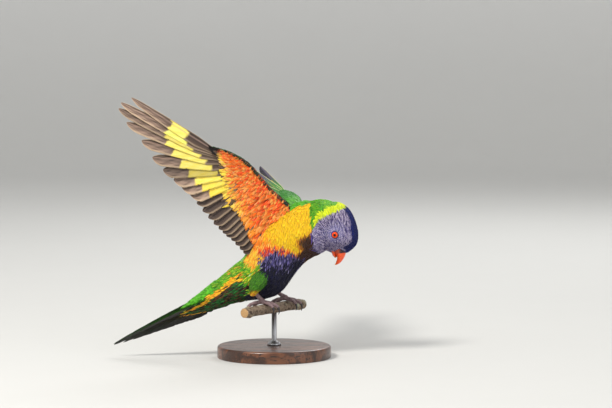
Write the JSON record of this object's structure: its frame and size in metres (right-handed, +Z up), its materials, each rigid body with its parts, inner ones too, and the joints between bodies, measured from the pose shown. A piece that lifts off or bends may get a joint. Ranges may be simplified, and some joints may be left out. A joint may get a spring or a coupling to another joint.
{
  "type": "bird display model",
  "caption": "Life-size still model of a small long-tailed parrot gripping a cut twig with raised wings, on a rod and a round base.",
  "frame": {"origin": "middle of the stand's underside, below the rod", "axes": "+Z up, the bird heads towards +X, its right side towards -Y"},
  "size_m": [0.2461, 0.2688, 0.2614],
  "materials": {
    "body_feathers": "soft small feathers, deep blue, green and orange",
    "breast_feathers": "soft small feathers, yellow-orange and green",
    "head_feathers": "soft narrow feathers, violet-blue with pale shafts",
    "bill_horn": "smooth horn, orange-red, satin gloss",
    "cere_skin": "bare dark skin",
    "eye": "wet gloss, orange-red iris and black pupil",
    "wing_feathers": "stiff vanes, brown-grey with a yellow band, orange coverts, green above",
    "tail_feathers": "stiff vanes, green above and dark olive below",
    "thigh_feathers": "soft small feathers, green",
    "foot_skin": "scaled grey skin",
    "claw_horn": "dark horn",
    "twig_bark": "rough bark with cut ends",
    "rod_metal": "brushed steel",
    "base_wood": "turned wood, satin lacquer"
  },
  "bodies": {
    "root": {"torso": "body_feathers", "neck": "breast_feathers", "head": "head_feathers", "bill_upper": "bill_horn", "bill_lower": "bill_horn", "cere": "cere_skin", "eye_right": "eye", "eye_left": "eye", "wing_right": "wing_feathers", "wing_left": "wing_feathers", "tail": "tail_feathers", "thigh_right": "thigh_feathers", "thigh_left": "thigh_feathers", "foot_right": "foot_skin", "foot_left": "foot_skin", "claw_right_1": "claw_horn", "claw_right_2": "claw_horn", "claw_right_3": "claw_horn", "claw_right_4": "claw_horn", "claw_left_1": "claw_horn", "claw_left_2": "claw_horn", "claw_left_3": "claw_horn", "claw_left_4": "claw_horn", "perch": "twig_bark", "stand_rod": "rod_metal", "stand_base": "base_wood"}
  },
  "joints": []
}
